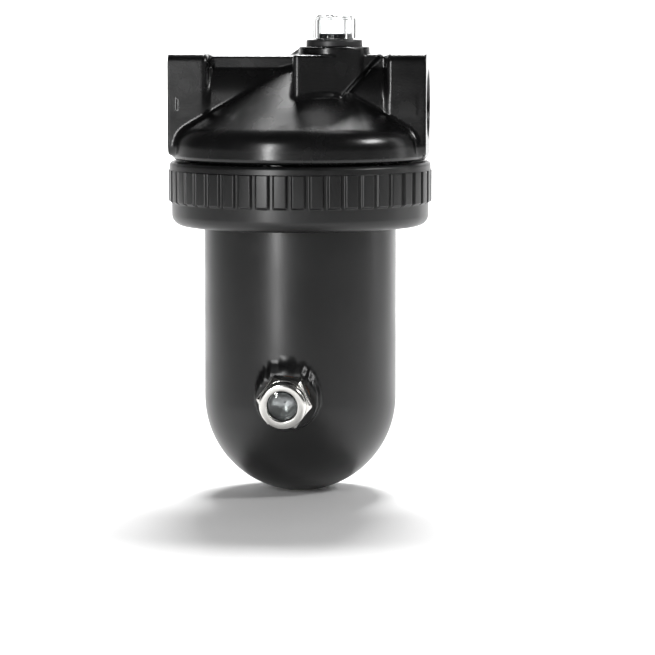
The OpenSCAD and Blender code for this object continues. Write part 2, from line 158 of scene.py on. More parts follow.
def makeMesh(name, points, faces, smooth=True, normals=None):
    mesh = bpy.data.meshes.new(name)
    mesh.vertices.add(len(points))
    mesh.vertices.foreach_set("co", np.asarray(points, np.float32).ravel())
    faces = np.asarray(faces)
    mesh.loops.add(faces.size)
    mesh.loops.foreach_set("vertex_index", faces.astype(np.int32).ravel())
    mesh.polygons.add(len(faces))
    mesh.polygons.foreach_set("loop_start", np.arange(len(faces), dtype=np.int32) * faces.shape[1])
    mesh.update(calc_edges=True)
    mesh.validate()
    mesh.polygons.foreach_set("use_smooth", np.full(len(mesh.polygons), smooth))
    if normals is not None:
        mesh.normals_split_custom_set_from_vertices(np.asarray(normals, np.float32).tolist())
    piece = bpy.data.objects.new(name, mesh)
    bpy.context.scene.collection.objects.link(piece)
    return piece


def fromField(name, field, low, high, step):
    points, faces = netOver(field, low, high, step)
    slope = steepest(field, points)
    slope /= np.maximum(np.linalg.norm(slope, axis=-1, keepdims=True), 1e-9)
    print("  ", name, len(points), "points", len(faces), "faces")
    return makeMesh(name, points, faces, normals=slope)


# A grid of points, rows by columns, joined into quads. closeRows and closeColumns join the last to the first.
def gridFaces(rows, columns, closeRows=False, closeColumns=True):
    r = np.arange(rows if closeRows else rows - 1)[:, None]
    c = np.arange(columns if closeColumns else columns - 1)[None, :]
    r2, c2 = (r + 1) % rows, (c + 1) % columns
    near, far = r * columns, r2 * columns
    quad = np.stack(np.broadcast_arrays(near + c, near + c2, far + c2, far + c), -1)
    return quad.reshape(-1, 4)


# An outline whose corners are rounded: each corner is a point and a radius, and gives an arc that is
# tangent to both its sides. A corner of radius zero stays sharp, as two points a hair apart.
def roundedOutline(corners, closed=True, steps=6):
    p = np.array([c[:2] for c in corners], float)
    r = np.array([c[2] if len(c) > 2 else 0 for c in corners], float)
    out = []
    n = len(p)
    for i in range(n):
        if not closed and i in (0, n - 1):
            out.append(p[i][None])
            continue
        a, b = p[i - 1] - p[i], p[(i + 1) % n] - p[i]
        la, lb = np.hypot(*a), np.hypot(*b)
        a, b = a / la, b / lb
        half = math.acos(max(-1, min(1, float(a @ b)))) / 2
        back = min(max(r[i], 0.03 * mm) / math.tan(half), 0.49 * la, 0.49 * lb)
        radius = back * math.tan(half)
        middle = p[i] + (a + b) / np.hypot(*(a + b)) * radius / math.sin(half)
        start, end = p[i] + a * back - middle, p[i] + b * back - middle
        turn = math.atan2(start[0] * end[1] - start[1] * end[0], float(start @ end))
        t = np.linspace(0, 1, steps if r[i] > 0 else 2)[:, None] * turn
        cos, sin = np.cos(t), np.sin(t)
        out.append(middle + np.hstack([start[0] * cos - start[1] * sin, start[0] * sin + start[1] * cos]))
    return np.concatenate(out)


# Turns an outline of (radius, height) about an axis:
# point = centre + radius (cos a, sin a) + height along the axis.
def turned(name, outline, centre, columns=128, axis=(0, 0, 1), closed=True):
    axis = Vector(axis).normalized()
    across = np.array(axis.orthogonal().normalized())
    up = np.array(axis)
    other = np.cross(up, across)
    a = np.linspace(0, 2 * np.pi, columns, endpoint=False)
    ring = np.cos(a)[:, None] * across + np.sin(a)[:, None] * other
    points = np.array(centre) + outline[:, 0][:, None, None] * ring[None] + outline[:, 1][:, None, None] * up
    faces = gridFaces(len(outline), columns, closeRows=closed)
    piece = makeMesh(name, points.reshape(-1, 3), faces)
    return tidyMesh(piece)


def tidyMesh(piece):   # joins doubled points, drops empty faces and turns every face outwards
    work = bmesh.new()
    work.from_mesh(piece.data)
    bmesh.ops.remove_doubles(work, verts=work.verts, dist=2e-6)
    bmesh.ops.dissolve_degenerate(work, edges=work.edges, dist=1e-7)
    bmesh.ops.recalc_face_normals(work, faces=work.faces)
    work.to_mesh(piece.data)
    work.free()
    piece.data.polygons.foreach_set("use_smooth", np.full(len(piece.data.polygons), True))
    return piece


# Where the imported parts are.
headLow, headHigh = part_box("head")
bowlLow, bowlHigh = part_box("bowl")
ringLow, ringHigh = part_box("clamp_ring")
capLow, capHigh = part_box("indicator_cap")
baseLow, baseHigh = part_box("indicator_base")
axisX = (headLow.x + headHigh.x) / 2
portHalf = (headHigh.x - headLow.x) / 2
rimR = (headHigh.y - headLow.y) / 2
landTop = headHigh.z
skirtEnd = headLow.z
indicatorX = (baseLow.x + baseHigh.x) / 2 - axisX
indicatorY = (baseLow.y + baseHigh.y) / 2


casting = {
    "step": 0.95 * mm,       # the net's spacing
    "blockLong": 20 * mm,    # a port block along the pipe
    "blockWide": 46 * mm,
    "blockTall": 50.5 * mm,
    "blockCorner": 5 * mm,
    "blockInner": 3 * mm,    # rounding of the edges that face the other block
    "edge": 0.9 * mm,        # rounding of the machined and sharp edges
    "rimEdge": 2.5 * mm,
    "seat": 48 * mm,         # the bowl's spigot fits here
    "seal": 51.4 * mm,       # and its O-ring here
    "tube": 22 * mm,
    "passage": 14 * mm,
    "portTap": 15.15 * mm,
    "portRoot": 16.5 * mm,   # bottom of the port's thread
    "portDeep": 20 * mm,
    "barWide": 26 * mm,
    "barTop": 23.8 * mm,
    "rimUnder": -27.8 * mm,
    "rimBand": 6.9 * mm,
    "rimRound": 12 * mm,
    "slope": math.radians(33.4),
    "skirtR": 54.3 * mm,     # bottom of the skirt's thread
    "neck": 24 * mm,
    "chamberR": 50 * mm,
    "chamberTop": -19 * mm,
    "towerRound": 35 * mm,   # the tower's front follows this circle about the bowl's axis
    "towerEdge": 4.5 * mm,
    "towerTop": 24.7 * mm,
    "land": 17.6 * mm,
    "pocket": 9 * mm,
}


# The rim and cone: outside the rim's cylinder, beyond its arc, or above the cone, whichever side the point
# is on.
def domeField(r, z, c):
    atR, atZ = rimR - c["rimRound"], c["rimUnder"] + c["rimBand"]
    u, v = r - atR, z - atZ
    way = np.arctan2(v, u)
    cone = u * math.sin(c["slope"]) + v * math.cos(c["slope"]) - c["rimRound"]
    arc = np.hypot(u, v) - c["rimRound"]
    outside = np.where(way < 0, r - rimR, np.where(way > math.pi / 2 - c["slope"], cone, arc))
    return roundMax(outside, c["rimUnder"] - z, c["rimEdge"])


def blockField(x, y, z, side, c):
    cut = c["blockCorner"]
    u, v = np.abs(y) - c["blockWide"] / 2 + cut, np.abs(z) - c["blockTall"] / 2 + cut
    face = np.hypot(np.maximum(u, 0), np.maximum(v, 0)) + np.minimum(np.maximum(u, v), 0) - cut
    outward = side * x - portHalf
    inward = portHalf - c["blockLong"] - side * x
    return roundMax(roundMax(face, outward, c["edge"]), inward, c["blockInner"])


# The tower: a round front, a flat left side, a slope that climbs to the right, and the round land on top.
def towerField(x, y, z, c):
    r = np.hypot(x, y)
    webY = -25.6 * mm + (x - indicatorX - 6 * mm) * 0.515
    web = np.maximum((webY - y) * 0.889, x - (portHalf - c["blockLong"] + 2 * mm))
    plan = filletMin(r - c["towerRound"], web, 3 * mm)
    plan = roundMax(plan, indicatorX - c["land"] - 1 * mm - x, c["towerEdge"])
    plan = np.maximum(plan, y - 4 * mm)
    lean = ((x - indicatorX + 4 * mm) * 0.740 - (z + 5 * mm) * 0.673)
    wall = roundMax(plan, z - c["towerTop"], c["edge"])
    away = np.hypot(x - indicatorX, y - indicatorY)
    land = roundMax(away - c["land"], z - landTop, 0.7 * mm)
    return roundMax(roundMax(filletMin(wall, land, 0.6 * mm), lean, c["edge"]), -z - 8 * mm, c["edge"])


def chamberField(r, z, c):   # the air space round the neck, the bowl's seat, and the O-ring's step
    ring = roundMax(roundMax(r - c["chamberR"], z - c["chamberTop"], 3 * mm), -35 * mm - z, 0.3 * mm)
    seat = np.maximum(r - c["seat"], z + 34 * mm)
    step = np.maximum(r - c["seal"], z - skirtEnd - 3.5 * mm)
    space = np.minimum(np.minimum(ring, seat), step)
    neck = roundMax(roundMax(r - c["neck"], skirtEnd + 12.3 * mm - z, 0.2 * mm), z - 0, 0)
    tip = roundMax(r - c["neck"] + 3 * mm, skirtEnd + 9.8 * mm - z, 0.3 * mm)
    return np.maximum(space, -np.minimum(neck, tip))


def castingField(p):
    c = casting
    x, y, z = p[:, 0] - axisX, p[:, 1], p[:, 2]
    r = np.hypot(x, y)
    dome = domeField(r, z, c)
    skirt = np.maximum(roundMax(r - c["skirtR"], skirtEnd - z, 0.8 * mm), z - c["rimUnder"] - 3 * mm)
    dome = np.minimum(dome, skirt)
    tube = np.maximum(np.hypot(y, z) - c["tube"], np.abs(x) - portHalf + 6 * mm)
    bar = np.stack([x, y, z], -1)
    reach = portHalf - 6 * mm
    bar = roundBox(bar, (-reach, -c["barWide"] / 2, 0), (reach, c["barWide"] / 2, c["barTop"]), 1.2 * mm)
    pipe = filletMin(tube, bar, 0.8 * mm)
    blocks = np.minimum(blockField(x, y, z, 1, c), blockField(x, y, z, -1, c))
    solid = filletMin(pipe, dome, 1.2 * mm)
    solid = filletMin(solid, towerField(x, y, z, c), 2.0 * mm)
    solid = filletMin(solid, blocks, 2.0 * mm)
    solid = np.maximum(solid, -chamberField(r, z, c))
    run = np.hypot(y, z)
    deep = portHalf - c["portDeep"]
    tap = np.maximum(run - c["portRoot"], deep - np.abs(x))
    mouth = np.maximum(run - c["portRoot"] - 0.8 * mm + (portHalf - np.abs(x)),
                       portHalf - 1.6 * mm - np.abs(x))
    drop = -(c["neck"] + c["passage"] - 1.5 * mm)
    inlet = np.maximum(run - c["passage"], slab(x, -portHalf, drop + 8 * mm))
    outlet = np.maximum(run - c["passage"], slab(x, -c["passage"] + 6 * mm, portHalf))
    fall = np.maximum(np.hypot(x - drop, y) - c["passage"] + 3 * mm,
                      slab(z, c["chamberTop"] - 2 * mm, 3 * mm))
    rise = np.maximum(r - c["passage"] + 0.5 * mm, slab(z, skirtEnd, 3 * mm))
    pocket = np.maximum(np.hypot(x - indicatorX, y - indicatorY) - c["pocket"], landTop - 12.5 * mm - z)
    holes = np.minimum.reduce([tap, mouth, inlet, outlet, fall, rise, pocket])
    web = np.maximum(np.maximum(np.abs(y) - 5 * mm, np.abs(x) - 15 * mm), slab(z, -32 * mm, -24 * mm))
    return np.minimum(np.maximum(solid, -holes), web)


print("head")
head = fromField("headCasting", castingField, headLow, headHigh, casting["step"])
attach(head, "head_body")
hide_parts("head")
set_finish(head, "cast_black")


# A screw thread on a sleeve. The radius goes from root to crest and back once for each pitch, along a
# helix: phase = height / pitch - angle / turn. It fades out over the first and last half turn, and the
# sleeve's other side is buried in the piece that carries it.
def threadSleeve(name, centre, axis, low, high, root, crest, pitch, columns=144):
    rows = int(round((high - low) / pitch * 8)) + 1
    h = np.linspace(low, high, rows)[:, None]
    a = np.linspace(0, 2 * np.pi, columns, endpoint=False)[None, :]
    phase = (h / pitch - a / (2 * np.pi)) % 1
    tooth = np.clip(1.9 - 5.2 * np.abs(phase - 0.5), 0, 1)
    fade = np.clip(np.minimum(h - low, high - h) / (0.5 * pitch), 0, 1)
    r = root + (crest - root) * tooth * fade
    buried = root - math.copysign(0.5 * mm, crest - root)
    r = np.vstack([r, np.full((2, columns), buried)])
    h = np.vstack([h, [[high]], [[low]]]) + 0 * r
    axis = Vector(axis).normalized()
    across = np.array(axis.orthogonal().normalized())
    other = np.cross(np.array(axis), across)
    ring = np.cos(a)[..., None] * across + np.sin(a)[..., None] * other
    points = np.array(centre) + r[..., None] * ring + h[..., None] * np.array(axis)
    return tidyMesh(makeMesh(name, points.reshape(-1, 3), gridFaces(rows + 2, columns, closeRows=True)))


# Turns an outline whose marked rows are cut to a hexagon: the radius at angle a is the smaller of the
# outline's and the hexagon's, which is half its width across flats over the cosine of the angle from the
# nearest flat.
def hexTurned(name, outline, flats, marked, place, columns=240, turn=0.0, round_=0.02, hollow=False):
    a = np.linspace(0, 2 * np.pi, columns, endpoint=False)
    off = (a - math.radians(turn) + np.pi / 6) % (np.pi / 3) - np.pi / 6
    hexagon = flats / 2 / np.cos(off)
    hexagon = np.minimum(hexagon, flats / 2 / math.cos(np.pi / 6) * (1 - round_))
    r = outline[:, 0][:, None] + 0 * a[None, :]
    r = np.where(marked[:, None], hexagon[None, :] if hollow else np.minimum(r, hexagon[None, :]), r)
    h = outline[:, 1][:, None] + 0 * r
    local = np.stack([r * np.cos(a), r * np.sin(a), h], -1).reshape(-1, 3)
    piece = makeMesh(name, place(local), gridFaces(len(outline), columns, closeRows=True))
    return tidyMesh(piece)


print("threads")
threads = {
    "portPitch": 2.309 * mm,
    "portLead": 1.2 * mm,      # plain length at the mouth
    "skirtPitch": 2 * mm,
    "skirtLead": 1 * mm,
    "skirtGap": 1.2 * mm,      # between the thread and the rim
    "skirtCrest": 55.45 * mm,
    "drainPitch": 1.337 * mm,
    "wideColumns": 240,
}
for side, name in ((-1, "inletThread"), (1, "outletThread")):
    port = (axisX + side * portHalf, 0, 0)
    thread = threadSleeve(name, port, (-side, 0, 0), threads["portLead"], casting["portDeep"] - 0.5 * mm,
                          casting["portRoot"], casting["portTap"], threads["portPitch"])
    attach(thread, "head_body")
    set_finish(thread, "cast_black")
skirtThread = threadSleeve("skirtThread", (axisX, 0, 0), (0, 0, 1), skirtEnd + threads["skirtLead"],
                           casting["rimUnder"] - threads["skirtGap"], casting["skirtR"],
                           threads["skirtCrest"], threads["skirtPitch"], threads["wideColumns"])
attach(skirtThread, "head_body")
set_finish(skirtThread, "cast_black")


# The ring: one outline of radius against height is turned about the bowl's axis. Where the ribs are, the
# radius at an angle drops to the groove's bottom by a smooth step either side of each groove's middle.
ringShape = {
    "ribs": 46,
    "groove": 2.5 * mm,       # width of a groove
    "depth": 1.5 * mm,
    "wall": 0.5 * mm,         # how far a groove's wall takes to fall
    "ribTop": 4.2 * mm,       # plain band above the ribs
    "ribTall": 16 * mm,
    "topRound": 2.0 * mm,
    "bottomRound": 6 * mm,
    "bore": 57.2 * mm,
    "crest": 55.75 * mm,
    "lipR": 48.6 * mm,
    "lipTall": 4.6 * mm,
    "perRib": 22,             # columns to a rib and its groove
}


def clampRing(c):
    outer = (ringHigh.y - ringLow.y) / 2
    band = outer - c["depth"]
    top, bottom = ringHigh.z, ringLow.z
    ribHigh, ribLow = top - c["ribTop"], top - c["ribTop"] - c["ribTall"]
    corners = [
        (c["bore"], top, 0.4 * mm),
        (outer - 0.5 * mm, top, c["topRound"]),
        (outer - 0.5 * mm, ribHigh + 0.3 * mm, 0.2 * mm),
        (outer, ribHigh, 0.4 * mm),
        (outer, ribLow + 0.5 * mm, 0.6 * mm),
        (band, ribLow - 0.4 * mm, 0.7 * mm),
        (band, bottom, c["bottomRound"]),
        (c["lipR"], bottom, 0.8 * mm),
        (c["lipR"], bottom + c["lipTall"], 0.3 * mm),
        (c["bore"], bottom + c["lipTall"], 0.3 * mm),
    ]
    outline = roundedOutline(corners, steps=9)
    columns = c["ribs"] * c["perRib"]
    a = np.linspace(0, 2 * np.pi, columns, endpoint=False)
    pitch = 2 * np.pi / c["ribs"]
    off = np.abs((a / pitch) % 1 - 0.5) * pitch * outer
    t = np.clip((off - c["groove"] / 2) / c["wall"] + 0.5, 0, 1)
    rib = t * t * (3 - 2 * t)
    r, z = outline[:, 0][:, None], outline[:, 1][:, None]
    ribbed = (r > band + 0.01 * mm) & (z <= ribHigh + 0.02 * mm) & (z >= ribLow - 0.5 * mm)
    r = np.where(ribbed, band + (r - band) * rib[None, :], r + 0 * a[None, :])
    points = np.stack([axisX + r * np.cos(a), r * np.sin(a), z + 0 * r], -1)
    faces = gridFaces(len(outline), columns, closeRows=True)
    return tidyMesh(makeMesh("clampRing", points.reshape(-1, 3), faces))


print("clamp ring")
ring = clampRing(ringShape)
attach(ring, "ring_body")
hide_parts("clamp_ring")
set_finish(ring, "ring_black")
ringThread = threadSleeve("ringThread", (axisX, 0, 0), (0, 0, 1), ringLow.z + 5.5 * mm, ringHigh.z - 0.6 * mm,
                          ringShape["bore"], ringShape["crest"], threads["skirtPitch"],
                          threads["wideColumns"])
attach(ringThread, "ring_body")
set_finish(ringThread, "ring_black")


# Where the sight glass sits. Its own axis leans down a little, and place() carries a point from the fitting's
# frame, whose height runs out along that axis from the face of the boss, to the part's.
sight = {"turn": -3.0, "tilt": 7.0, "up": 3.8 * mm, "hexTurn": -7.0, "face": 3.5 * mm}
bowlShape = {
    "radius": 48 * mm,
    "domeZ": -146.5 * mm,     # middle of the round end
    "wall": 4 * mm,
    "flangeR": 54 * mm,
    "flangeTall": 4.5 * mm,
    "spigotTall": 13 * mm,
    "bossR": 16 * mm,
    "bossWall": 1.3 * mm,     # how far across the boss's wall takes to fall
    "drainR": 9.3 * mm,
    "drainDeep": 4.6 * mm,
    "drainTap": 5.75 * mm,
    "drainBossR": 11 * mm,
    "drainBossTall": 13 * mm,
    "coarse": 2.6 * mm,
    "fine": 0.55 * mm,
}
domeZ = bowlShape["domeZ"]
boss = bowlShape["radius"] + sight["face"]


def sightPlace(local):
    turn, lean = math.radians(sight["turn"]), math.radians(90 + sight["tilt"])
    x, y, z = local[:, 0], local[:, 1], local[:, 2]
    y, z = y * math.cos(lean) - z * math.sin(lean) - boss, y * math.sin(lean) + z * math.cos(lean)
    z = z + domeZ + sight["up"]
    across = axisX + x * math.cos(turn) - y * math.sin(turn)
    return np.stack([across, x * math.sin(turn) + y * math.cos(turn), z], -1)


# Puts more points on an outline, so that none are further apart than spacing says at that height.
def fill(outline, spacing):
    out = []
    for p, q in zip(outline, np.roll(outline, -1, axis=0)):
        n = max(1, int(np.ceil(np.hypot(*(q - p)) / spacing((p[1] + q[1]) / 2))))
        out.append(p + (q - p) * np.linspace(0, 1, n, endpoint=False)[:, None])
    return np.concatenate(out)


# The bowl is turned, and its columns are closer together round the sight glass. The boss is raised from the
# outer wall along the fitting's axis: lift = -depth x smooth step of the distance from that axis.
def bowlSurface(c):
    r, wall = c["radius"], c["wall"]
    low, high = bowlLow.z, bowlHigh.z
    t = np.linspace(0, 1, 50)
    start = math.asin((c["drainR"] + 0.8 * mm) / r)
    sweep = t * (np.pi / 2 - start)
    outer = np.stack([r * np.cos(sweep), domeZ - r * np.sin(sweep)], -1)
    inside = r - wall
    stop = math.asin((c["drainBossR"] + 1.5 * mm) / inside)
    sweep = t * (np.pi / 2 - stop)
    inner = np.stack([inside * np.cos(sweep), domeZ - inside * np.sin(sweep)], -1)
    flangeTop = high - c["spigotTall"]
    upper = roundedOutline([
        (inside, high, 1.0 * mm),
        (r - 0.2 * mm, high, 1.0 * mm),
        (r - 0.2 * mm, flangeTop, 0.3 * mm),
        (c["flangeR"], flangeTop, 0.5 * mm),
        (c["flangeR"], flangeTop - c["flangeTall"], 0.5 * mm),
        (r, flangeTop - c["flangeTall"], 0.6 * mm),
        (r, domeZ + 1 * mm, 0),
        (inside, domeZ + 1 * mm, 0),
    ], steps=6)[:-4]
    drainTop = low + c["drainBossTall"]
    drain = roundedOutline([
        (outer[-1][0], outer[-1][1], 0),
        (c["drainR"], low + 0.4 * mm, 0.9 * mm),
        (c["drainR"], low + c["drainDeep"], 0.3 * mm),
        (c["drainTap"], low + c["drainDeep"], 0.3 * mm),
        (c["drainTap"], drainTop, 0.5 * mm),
        (c["drainBossR"], drainTop, 1.2 * mm),
        (c["drainBossR"], inner[-1][1] + 1.0 * mm, 0.8 * mm),
        (inner[-1][0], inner[-1][1], 0),
    ], closed=False, steps=6)[1:-1]
    outline = np.concatenate([upper, outer, drain, inner[::-1]])
    middle = domeZ + sight["up"] - 2 * mm
    reach = c["bossR"] + 5 * mm
    outline = fill(outline, lambda z: c["fine"] if abs(z - middle) < reach else c["coarse"])
    near = reach / r
    front = -np.pi / 2 + math.radians(sight["turn"])
    fine = front + np.linspace(-near, near, int(2 * reach / c["fine"]))
    coarse = int((2 * np.pi - 2 * near) * r / c["coarse"]) + 2
    rest = front + np.linspace(near, 2 * np.pi - near, coarse)[1:-1]
    a = np.concatenate([fine, rest])
    radius, z = outline[:, 0][:, None], outline[:, 1][:, None]
    points = np.stack([axisX + radius * np.cos(a), radius * np.sin(a), z + 0 * a[None, :] + 0 * radius], -1)
    origin = sightPlace(np.zeros((1, 3)))[0]
    out = sightPlace(np.array([[0, 0, 1.0]]))[0] - origin
    d = points - origin
    depth = d @ out
    away = np.linalg.norm(d - depth[..., None] * out, axis=-1)
    s = np.clip((c["bossR"] + c["bossWall"] / 2 - away) / c["bossWall"], 0, 1)
    s = s * s * (3 - 2 * s)
    outside = (radius > inside + wall / 2) | (z < domeZ)
    outside = outside & (np.hypot(radius, np.minimum(z - domeZ, 0)) > r - 0.3 * mm) & (depth > -20 * mm)
    points += np.where(outside, -depth * s, 0)[..., None] * out
    faces = gridFaces(len(outline), len(a), closeRows=True)
    print("   bowl", points.shape[0] * points.shape[1], "points")
    return tidyMesh(makeMesh("bowlShell", points.reshape(-1, 3), faces))


print("bowl")
bowl = bowlSurface(bowlShape)
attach(bowl, "bowl_body")
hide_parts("bowl")
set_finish(bowl, "bowl_black")


# Sight glass: a hexagon with a broad rounded bezel in front of it, a domed lens, and a dished reflector
# behind.
sightShape = {
    "hex": 24 * mm,
    "washer": 1.5 * mm,
    "hexTall": 7 * mm,
    "bezelR": 11.6 * mm,
    "bezelTall": 6 * mm,
    "bezelRound": 3.4 * mm,
    "window": 7.5 * mm,
    "lip": 1.6 * mm,
    "lensR": 8.85 * mm,
    "threadR": 10.3 * mm,
    "tail": 7 * mm,
    "lensSunk": 0.8 * mm,     # the lens's edge behind the lip
    "lensThick": 5 * mm,
    "bulge": 1.0 * mm,
    "dishRim": 2.4 * mm,
    "dishDeep": 2.4 * mm,
    "dishThick": 0.8 * mm,
    "dishHole": 0.9 * mm,
}


def sightBody(c):
    corner = c["hex"] / math.sqrt(3)
    hexLow, hexHigh = c["washer"], c["washer"] + c["hexTall"]
    front = hexHigh + c["bezelTall"]
    corners = [
        (c["lensR"] + 0.05 * mm, -c["tail"], 0.3 * mm),
        (c["threadR"], -c["tail"], 0.6 * mm),
        (c["threadR"], hexLow, 0.2 * mm),
        (corner - 0.8 * mm, hexLow, 0.2 * mm),
        (corner, hexLow + 0.6 * mm, 0.3 * mm),
        (corner, hexHigh - 1.7 * mm, 0.4 * mm),
        (c["hex"] / 2 - 0.6 * mm, hexHigh, 0.3 * mm),
        (c["bezelR"] - 0.9 * mm, hexHigh, 0.3 * mm),
        (c["bezelR"] - 0.9 * mm, hexHigh + 0.7 * mm, 0.2 * mm),
        (c["bezelR"], hexHigh + 1.3 * mm, 0.6 * mm),
        (c["bezelR"], front, c["bezelRound"]),
        (c["window"], front, 0.7 * mm),
        (c["window"], front - c["lip"], 0.2 * mm),
        (c["lensR"] + 0.05 * mm, front - c["lip"], 0.2 * mm),
    ]
    outline = roundedOutline(corners, steps=10)
    marked = (outline[:, 1] >= hexLow - 0.01 * mm) & (outline[:, 1] <= hexHigh + 0.01 * mm)
    marked &= outline[:, 0] > c["threadR"] + 0.5 * mm
    return hexTurned("sightBody", outline, c["hex"], marked, sightPlace, 300, sight["hexTurn"] + 30, 0.012)


def sightTurned(name, outline, columns=96):
    a = np.linspace(0, 2 * np.pi, columns, endpoint=False)
    local = np.stack([outline[:, 0][:, None] * np.cos(a), outline[:, 0][:, None] * np.sin(a),
                      outline[:, 1][:, None] + 0 * a[None, :]], -1)
    return tidyMesh(makeMesh(name, sightPlace(local.reshape(-1, 3)), gridFaces(len(outline), columns)))


def lensEnds(c):   # where the lens's front edge and its back are, along the fitting's axis
    front = c["washer"] + c["hexTall"] + c["bezelTall"] - c["lip"] - c["lensSunk"]
    return front, front - c["lensThick"]


def sightLens(c):
    front, back = lensEnds(c)
    rim = c["lensR"] - 0.05 * mm
    x = np.linspace(0, 1, 24)
    face = np.stack([x * (c["window"] - 0.4 * mm), front + c["bulge"] * (1 - x ** 2)], -1)
    behind = np.array([[rim, front], [rim, back], [0, back]])
    return sightTurned("sightLens", np.concatenate([face, behind]))


def sightReflector(c):
    front, back = lensEnds(c)
    rim = c["lensR"] - 0.1 * mm
    x = np.linspace(0, 1, 24)
    dish = np.stack([x * (c["lensR"] - c["dishRim"]), back - c["dishDeep"] * (1 - x ** 2)], -1)
    dish[0, 0] = c["dishHole"]
    edge = np.array([[rim, back], [rim, back - c["dishThick"]]])
    under = dish[::-1] - [0, c["dishThick"]]
    return sightTurned("sightReflector", np.concatenate([dish, edge, under, dish[:1]]))


print("sight glass")
sightPieces = [
    (sightBody(sightShape), "sight_body", "nickel"),
    (sightLens(sightShape), "sight_lens", "clear_glass"),
    (sightReflector(sightShape), "sight_reflector", "reflector"),
]
for piece, node, slotName in sightPieces:
    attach(piece, "bowl_body")
    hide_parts(node)
    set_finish(piece, slotName)


# Drain plug: a thin collar with a hexagon socket, and a threaded shank above it.
plugLow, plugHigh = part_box("drain_plug")
drainShape = {"collar": 2.6 * mm, "collarR": 8.6 * mm, "root": 5.1 * mm, "crest": 5.7 * mm, "socket": 6 * mm,
              "socketDeep": 5 * mm}


def drainPlug(c):
    outline = roundedOutline([
        (c["socket"] / 2 / math.cos(np.pi / 6), 0, 0.3 * mm),
        (c["collarR"], 0, 0.7 * mm),
        (c["collarR"], c["collar"], 0.3 * mm),
        (c["root"], c["collar"], 0.2 * mm),
        (c["root"], plugHigh.z - plugLow.z, 0.6 * mm),
        (0.01 * mm, plugHigh.z - plugLow.z, 0),
        (0.01 * mm, c["socketDeep"], 0),
        (c["socket"] / 2 / math.cos(np.pi / 6), c["socketDeep"], 0.1 * mm),
    ], steps=6)
    inSocket = (outline[:, 0] > 1 * mm) & (outline[:, 0] < c["socket"] / 2 + 0.7 * mm)
    inSocket &= outline[:, 1] < c["socketDeep"] + 0.2 * mm
    return hexTurned("drainPlug", outline, c["socket"], inSocket,
                     lambda p: p + np.array([axisX, 0, plugLow.z]), 144, hollow=True)


print("drain plug")
plug = drainPlug(drainShape)
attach(plug, "drain_plug_body")
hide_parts("drain_plug")
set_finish(plug, "nickel")
plugThread = threadSleeve("drainThread", (axisX, 0, plugLow.z), (0, 0, 1), drainShape["collar"] + 1.7 * mm,
                          plugHigh.z - plugLow.z - 0.5 * mm, drainShape["root"], drainShape["crest"],
                          threads["drainPitch"], 96)
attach(plugThread, "drain_plug_body")
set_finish(plugThread, "nickel")


# Service indicator: a black base with a round flange, a clear hexagon cap, and the piston that rises in it.
indicator = {
    "collarR": 14 * mm,
    "collar": 3.5 * mm,
    "shankR": 8.9 * mm,
    "barrelR": 7 * mm,
    "stemR": 4.1 * mm,
    "nippleR": 7.6 * mm,
    "nippleTall": 6.5 * mm,
    "hex": 19 * mm,
    "capTurn": 13.0,
    "roof": 2 * mm,
}
indicatorAt = np.array([axisX + indicatorX, indicatorY, landTop])


def indicatorBase(c):
    outline = roundedOutline([
        (c["barrelR"], -12 * mm, 0.3 * mm),
        (c["shankR"], -12 * mm, 0.8 * mm),
        (c["shankR"], 0, 0.2 * mm),
        (c["collarR"], 0, 0.5 * mm),
        (c["collarR"], c["collar"], 1.1 * mm),
        (c["hex"] / 2 + 1.4 * mm, c["collar"], 0.2 * mm),
        (c["hex"] / 2 + 1.4 * mm, c["collar"] - 0.35 * mm, 0.1 * mm),
        (c["nippleR"] + 0.9 * mm, c["collar"] - 0.35 * mm, 0.1 * mm),
        (c["nippleR"] - 0.05 * mm, c["collar"], 0.2 * mm),
        (c["nippleR"] - 0.05 * mm, c["nippleTall"], 0.6 * mm),
        (c["stemR"], c["nippleTall"], 0.4 * mm),
        (c["stemR"], -1.2 * mm, 0.2 * mm),
        (c["barrelR"], -1.2 * mm, 0.3 * mm),
    ], steps=7)
    return turned("indicatorBase", outline, indicatorAt, 160)


def indicatorCap(c):
    low, high = capLow.z - landTop, capHigh.z - landTop
    corner = c["hex"] / math.sqrt(3)
    outline = roundedOutline([
        (c["nippleR"] + 0.1 * mm, low, 0.2 * mm),
        (corner, low, 0.3 * mm),
        (corner, high - 2.6 * mm, 0.8 * mm),
        (corner - 3.4 * mm, high, 1.0 * mm),
        (0.01 * mm, high, 0),
        (0.01 * mm, high - c["roof"], 0),
        (c["nippleR"] + 0.1 * mm, high - c["roof"], 1.2 * mm),
    ], steps=8)
    marked = outline[:, 0] > c["nippleR"] + 0.4 * mm
    return hexTurned("indicatorCap", outline, c["hex"], marked, lambda p: p + indicatorAt, 240,
                     c["capTurn"] + 30, 0.03)


def indicatorPiston(c):
    low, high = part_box("indicator_piston")
    foot, top = low.z - landTop, high.z - landTop
    outline = roundedOutline([
        (0, foot, 0),
        (c["barrelR"] - 0.2 * mm, foot, 0.3 * mm),
        (c["barrelR"] - 0.2 * mm, foot + 1.4 * mm, 0.3 * mm),
        (4 * mm, foot + 1.4 * mm, 0.2 * mm),
        (4 * mm, top, 0.7 * mm),
        (0, top, 0),
    ], closed=False, steps=6)
    return turned("indicatorPiston", outline, indicatorAt, 96, closed=False)


print("service indicator")
for piece, body_, node, slotName in (
    (indicatorBase(indicator), "head_body", "indicator_base", "dark_plastic"),
    (indicatorCap(indicator), "head_body", "indicator_cap", "clear_plastic"),
    (indicatorPiston(indicator), "piston_body", "indicator_piston", "indicator_red"),
):
    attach(piece, body_)
    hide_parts(node)
    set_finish(piece, slotName)


